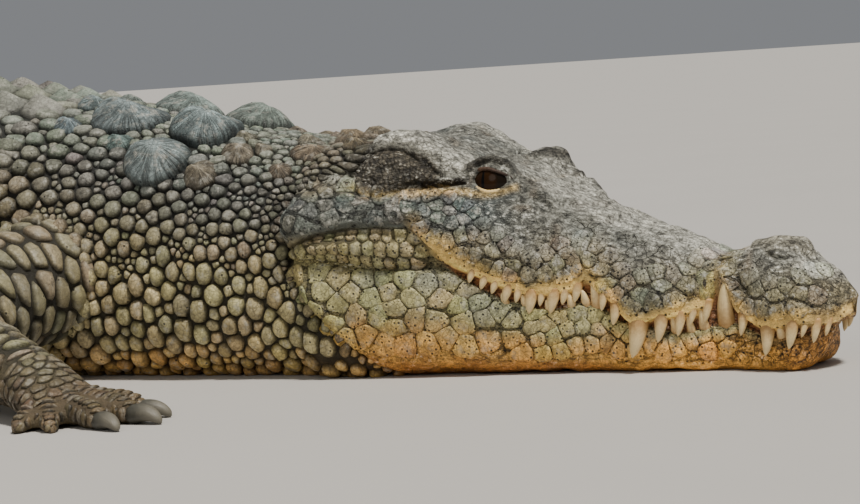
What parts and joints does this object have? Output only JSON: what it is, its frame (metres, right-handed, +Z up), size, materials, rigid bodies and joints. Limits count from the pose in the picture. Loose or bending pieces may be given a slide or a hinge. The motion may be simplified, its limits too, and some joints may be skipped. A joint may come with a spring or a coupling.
{
  "type": "resting crocodile",
  "caption": "Life-size still model of a crocodile lying flat with its jaws closed, body and limbs resting on the floor and the tail curving behind.",
  "frame": {"origin": "bottom centre of the whole animal's box, on the floor", "axes": "+X towards the snout, +Y to the animal's left, +Z up"},
  "size_m": [3.1796, 1.023, 0.332],
  "materials": {
    "hide": "dry horny scales",
    "head_hide": "tight cracked skin over bone",
    "jaw_hide": "smooth cracked skin",
    "claw": "worn horn",
    "eye": "wet and clear"
  },
  "bodies": {
    "root": {"belly_and_hips": "hide", "chest": "hide", "eye_left": "eye", "eye_right": "eye", "front_left_claw_1": "claw", "front_left_claw_2": "claw", "front_left_claw_3": "claw", "front_left_foot": "hide", "front_left_lower_leg": "hide", "front_left_upper_leg": "hide", "front_right_claw_1": "claw", "front_right_claw_2": "claw", "front_right_claw_3": "claw", "front_right_foot": "hide", "front_right_lower_leg": "hide", "front_right_upper_leg": "hide", "head": "head_hide", "hind_left_claw_1": "claw", "hind_left_claw_2": "claw", "hind_left_claw_3": "claw", "hind_left_foot": "hide", "hind_left_lower_leg": "hide", "hind_left_upper_leg": "hide", "hind_right_claw_1": "claw", "hind_right_claw_2": "claw", "hind_right_claw_3": "claw", "hind_right_foot": "hide", "hind_right_lower_leg": "hide", "hind_right_upper_leg": "hide", "lower_jaw": "jaw_hide", "neck": "hide", "tail_1": "hide", "tail_2": "hide", "tail_3": "hide", "tail_4": "hide", "tail_5": "hide"}
  },
  "joints": []
}
